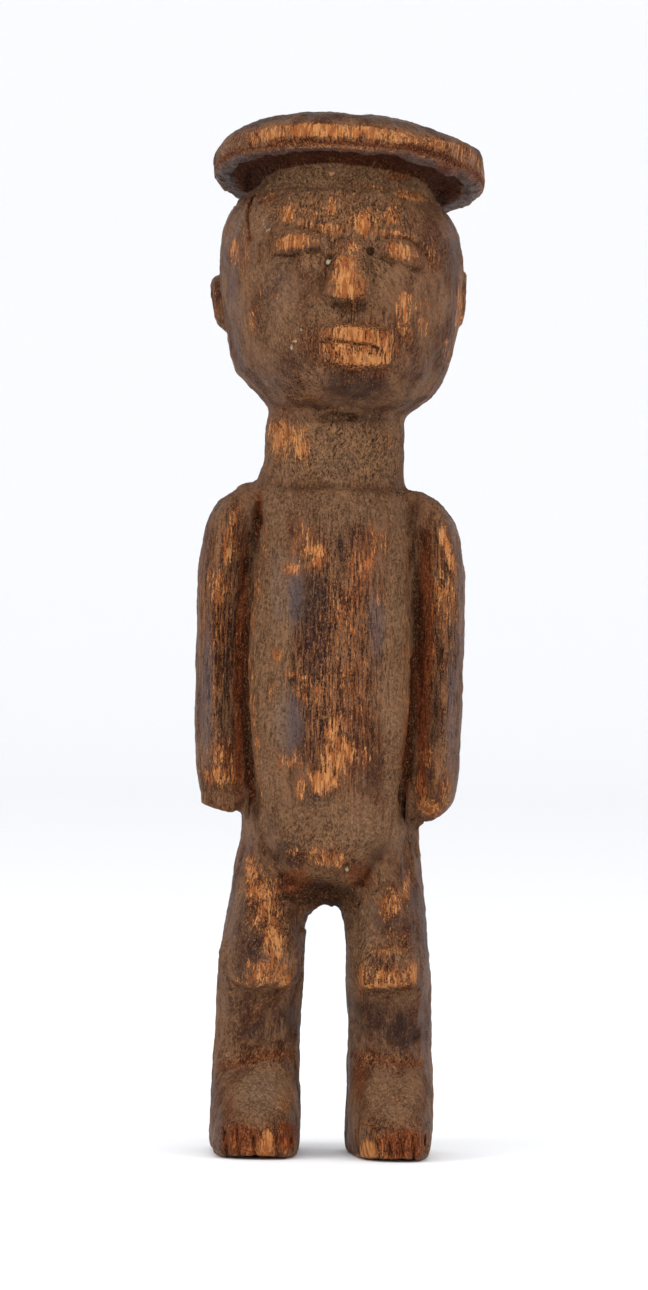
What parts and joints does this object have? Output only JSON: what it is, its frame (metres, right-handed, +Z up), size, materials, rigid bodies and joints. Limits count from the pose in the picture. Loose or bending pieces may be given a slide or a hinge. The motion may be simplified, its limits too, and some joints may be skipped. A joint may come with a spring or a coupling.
{
  "type": "carved wooden figure",
  "caption": "Standing wooden figure carved in the round, with a flat round cap, closed eyes, arms held to the sides and block feet with notched toes.",
  "frame": {"origin": "middle of the figure's box, on the plane of the soles", "axes": "+Z up along the figure, -Y the way the face looks, +X towards the figure's own left"},
  "size_m": [0.0558, 0.0556, 0.2064],
  "materials": {
    "wood": "satin"
  },
  "bodies": {
    "root": {"cap": "wood", "head": "wood", "nose": "wood", "mouth": "wood", "eye_right": "wood", "eye_left": "wood", "ear_right": "wood", "ear_left": "wood", "neck": "wood", "torso": "wood", "arm_right": "wood", "arm_left": "wood", "leg_right": "wood", "leg_left": "wood", "foot_right": "wood", "foot_left": "wood"}
  },
  "joints": []
}
